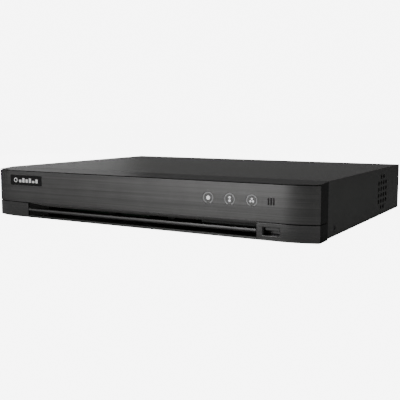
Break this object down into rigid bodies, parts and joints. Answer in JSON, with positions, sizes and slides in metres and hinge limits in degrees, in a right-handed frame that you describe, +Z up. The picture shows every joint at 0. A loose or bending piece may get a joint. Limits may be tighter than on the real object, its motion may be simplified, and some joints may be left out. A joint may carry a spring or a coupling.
{
  "type": "dvr recorder",
  "caption": "Flat black video recorder with a brushed curved front, intake grille, status lights, side vents, rear sockets, hard drive, boards and fan inside.",
  "frame": {"origin": "on the shelf plane under the middle of the whole recorder, jacks included", "axes": "+X along the front to the viewer's right, +Y from the front to the rear sockets, +Z up"},
  "size_m": [0.315, 0.245, 0.045],
  "materials": {
    "case_steel": "fine black powder coat",
    "front_plastic": "satin moulded black",
    "brushed_plate": "dark, brushed along its length",
    "trim_dark": "dark, brushed along its length",
    "badge": "smooth black",
    "light_guide": "milky clear",
    "infrared_lens": "dark see-through",
    "foot_rubber": "matt",
    "black_screw": "blackened",
    "socket_metal": "nickel plated",
    "socket_plastic": "moulded black",
    "board": "solder resist",
    "cooler": "black anodised",
    "cell": "bright",
    "drive_casting": "as cast",
    "drive_steel": "brushed",
    "platter": "polished",
    "terminal_green": "moulded green",
    "lever_orange": "moulded orange",
    "lead_grey": "insulated wire",
    "lead_red": "insulated wire",
    "lead_black": "insulated wire"
  },
  "bodies": {
    "case": {"audio_jacks": "socket_plastic", "chassis_tray": "case_steel", "coin_cell": "cell", "control_terminal": "terminal_green", "dc_jack": "socket_plastic", "drive_base": "drive_casting", "drive_board": "board", "drive_lid": "drive_steel", "fan_frame": "socket_plastic", "fan_lead": "lead_black", "front_bezel": "front_plastic", "front_board": "board", "front_fascia": "brushed_plate", "front_usb_shell": "socket_metal", "front_usb_tongue": "socket_plastic", "grille_rib": "brushed_plate", "ground_screw": "socket_metal", "hdmi_port": "socket_metal", "heat_sink": "cooler", "ir_window": "infrared_lens", "lan_port": "socket_metal", "light_guide_1": "light_guide", "light_guide_2": "light_guide", "light_guide_3": "light_guide", "lower_trim_left": "trim_dark", "lower_trim_right": "brushed_plate", "main_board": "board", "name_badge": "badge", "rear_screw_left": "black_screw", "rear_screw_right": "black_screw", "rear_usb_port": "socket_metal", "ribbon_lead": "lead_grey", "rocker_housing": "socket_plastic", "rubber_foot_back_left": "foot_rubber", "rubber_foot_back_right": "foot_rubber", "rubber_foot_front_left": "foot_rubber", "rubber_foot_front_right": "foot_rubber", "sata_data_lead": "lead_red", "sata_power_lead": "lead_black", "side_screw_left_back": "black_screw", "side_screw_left_front": "black_screw", "side_screw_right_back": "black_screw", "side_screw_right_front": "black_screw", "top_cover": "case_steel", "vga_port": "socket_metal", "video_jack_1": "socket_metal", "video_jack_2": "socket_metal", "video_jack_3": "socket_metal", "video_jack_4": "socket_metal", "video_jack_5": "socket_metal", "video_jack_6": "socket_metal", "video_jack_7": "socket_metal", "video_jack_8": "socket_metal"},
    "fan_rotor": {"fan_rotor": "socket_plastic"},
    "platter_pack": {"drive_platters": "platter"},
    "head_arm": {"drive_arm": "drive_casting"},
    "rocker": {"power_rocker": "socket_plastic"},
    "left_lever": {"release_lever_left": "lever_orange"},
    "right_lever": {"release_lever_right": "lever_orange"}
  },
  "joints": [
    {"name": "fan_spin", "type": "hinge", "parent": "case", "child": "fan_rotor", "pos_m": [0.15, 0.052, 0.0233], "axis": [1, 0, 0], "continuous": true},
    {"name": "platter_spin", "type": "hinge", "parent": "case", "child": "platter_pack", "pos_m": [-0.0985, -0.0426, 0.0114], "axis": [0, 0, 1], "continuous": true},
    {"name": "arm_swing", "type": "hinge", "parent": "case", "child": "head_arm", "pos_m": [-0.049, -0.0726, 0.0114], "axis": [0, 0, 1], "range_deg": [0, 33]},
    {"name": "rocker_tip", "type": "hinge", "parent": "case", "child": "rocker", "pos_m": [-0.134, 0.1114, 0.0232], "axis": [1, 0, 0], "range_deg": [0, 20]},
    {"name": "left_lever_press", "type": "slide", "parent": "case", "child": "left_lever", "axis": [0, -1, 0], "range_m": [0, 0.0012], "stiffness_N_per_m": 300},
    {"name": "right_lever_press", "type": "slide", "parent": "case", "child": "right_lever", "axis": [0, -1, 0], "range_m": [0, 0.0012], "stiffness_N_per_m": 300}
  ]
}
